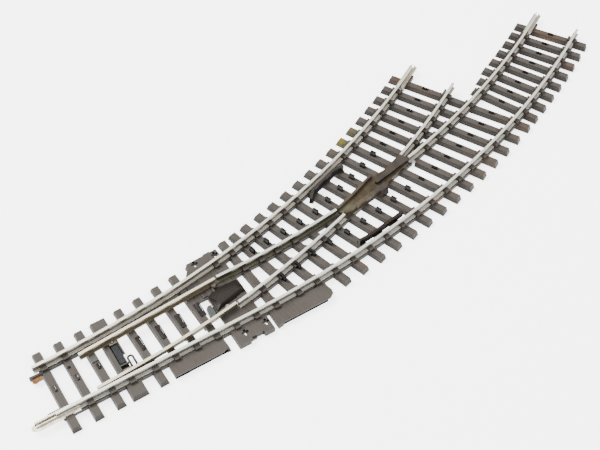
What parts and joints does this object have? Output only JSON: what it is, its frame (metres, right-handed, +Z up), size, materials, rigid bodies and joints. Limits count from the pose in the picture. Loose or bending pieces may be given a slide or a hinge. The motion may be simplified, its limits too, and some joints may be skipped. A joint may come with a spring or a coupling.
{
  "type": "model turnout switch",
  "caption": "Curved left-hand model railway turnout: sleeper bed, stock and closure rails, hinged blades on a sliding tie bar, frog, check rails and centre studs.",
  "frame": {"origin": "on the underside of the sleeper bed, below the middle of the entry rail ends", "axes": "+X along the entry track away from the entry rail ends, +Y to the left, +Z up"},
  "size_m": [0.2519, 0.0737, 0.0046],
  "materials": {
    "bed": "matte",
    "nickel_silver": "satin",
    "frog_plastic": "satin",
    "frog_floor": "matte",
    "joiner_metal": "satin",
    "copper": "satin",
    "stud_metal": "satin",
    "tie_bar": "matte",
    "pin_steel": "satin",
    "slider_metal": "satin",
    "cover": "satin",
    "pad_metal": "satin"
  },
  "bodies": {
    "track": {"sleeper_bed": "bed", "left_stock_rail": "nickel_silver", "right_stock_rail": "nickel_silver", "left_closure_rail": "nickel_silver", "right_closure_rail": "nickel_silver", "inner_exit_rail": "nickel_silver", "outer_exit_rail": "nickel_silver", "frog_casting": "frog_plastic", "frog_floor": "frog_floor", "left_check_rail": "frog_plastic", "right_check_rail": "frog_plastic", "entry_rail_joiner": "joiner_metal", "inner_rail_joiner": "joiner_metal", "outer_rail_joiner": "joiner_metal", "contact_tongue": "copper", "entry_studs": "stud_metal", "inner_studs": "stud_metal", "outer_studs": "stud_metal", "drive_cover": "cover", "slide_pad": "pad_metal", "heel_pins": "pin_steel", "frog_peg": "pin_steel"},
    "throw": {"tie_bar": "tie_bar", "tie_pins": "pin_steel", "link_wire": "pin_steel", "drive_slider": "slider_metal"},
    "left_blade": {"left_switch_blade": "nickel_silver"},
    "right_blade": {"right_switch_blade": "nickel_silver"}
  },
  "joints": [
    {"name": "tie_bar_throw", "type": "slide", "parent": "track", "child": "throw", "axis": [0, 1, 0], "range_m": [0, 0.0017]},
    {"name": "left_blade_heel", "type": "hinge", "parent": "track", "child": "left_blade", "pos_m": [0.0603, 0.00725, 0.0026], "axis": [0, 0, -1], "range_deg": [0, 2.7]},
    {"name": "right_blade_heel", "type": "hinge", "parent": "track", "child": "right_blade", "pos_m": [0.0603, -0.00229, 0.0026], "axis": [0, 0, -1], "range_deg": [0, 2.7]}
  ],
  "couplings": [
    {"joint": "left_blade_heel", "follows": "tie_bar_throw", "rad_per_m": 27.72},
    {"joint": "right_blade_heel", "follows": "tie_bar_throw", "rad_per_m": 27.72}
  ]
}
